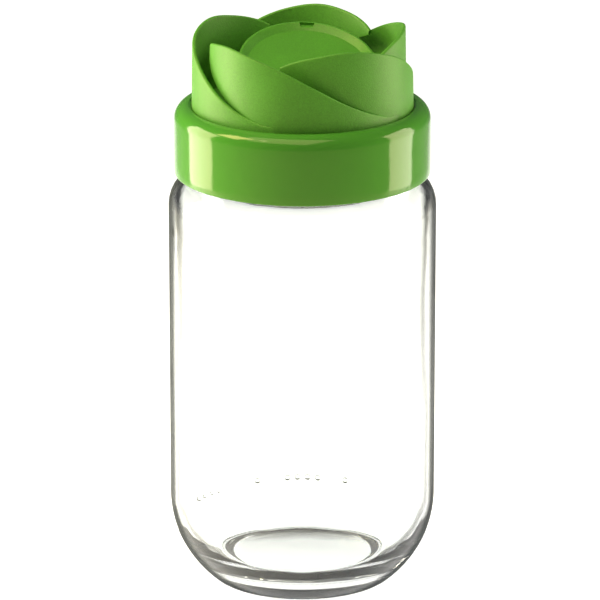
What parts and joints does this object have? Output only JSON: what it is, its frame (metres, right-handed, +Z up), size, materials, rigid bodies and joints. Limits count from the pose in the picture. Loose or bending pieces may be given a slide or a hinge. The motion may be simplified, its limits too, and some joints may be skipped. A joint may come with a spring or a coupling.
{
  "type": "storage jar",
  "caption": "Clear glass storage jar with a rounded heel and a green screw lid topped by a rose of overlapping petals around a slanted disc.",
  "frame": {"origin": "middle of the foot ring that the jar stands on", "axes": "+Z up along the jar's axis, -Y to the front that the slanted disc faces"},
  "size_m": [0.1, 0.1, 0.2126],
  "materials": {
    "clear_glass": "clear soda-lime glass, fire polished",
    "white_foam": "closed-cell foam",
    "natural_white_plastic": "moulded, slightly glossy",
    "gloss_green_plastic": "high gloss moulded",
    "matt_green_plastic": "fine spark-eroded matt",
    "satin_green_plastic": "satin moulded"
  },
  "bodies": {
    "jar": {"glass_jar": "clear_glass"},
    "seal": {"seal_liner": "white_foam"},
    "lid": {"inner_screw_cap": "natural_white_plastic", "outer_ring": "gloss_green_plastic", "rose_top": "matt_green_plastic", "centre_disc": "satin_green_plastic"}
  },
  "joints": [
    {"name": "lid_rise", "type": "slide", "parent": "jar", "child": "seal", "axis": [0, 0, 1], "range_m": [0, 0.032]},
    {"name": "lid_turn", "type": "hinge", "parent": "seal", "child": "lid", "pos_m": [0, 0, 0.184], "axis": [0, 0, 1], "range_deg": [0, 720]}
  ],
  "couplings": [
    {"joint": "lid_rise", "follows": "lid_turn", "m_per_rad": 0.0025465}
  ]
}
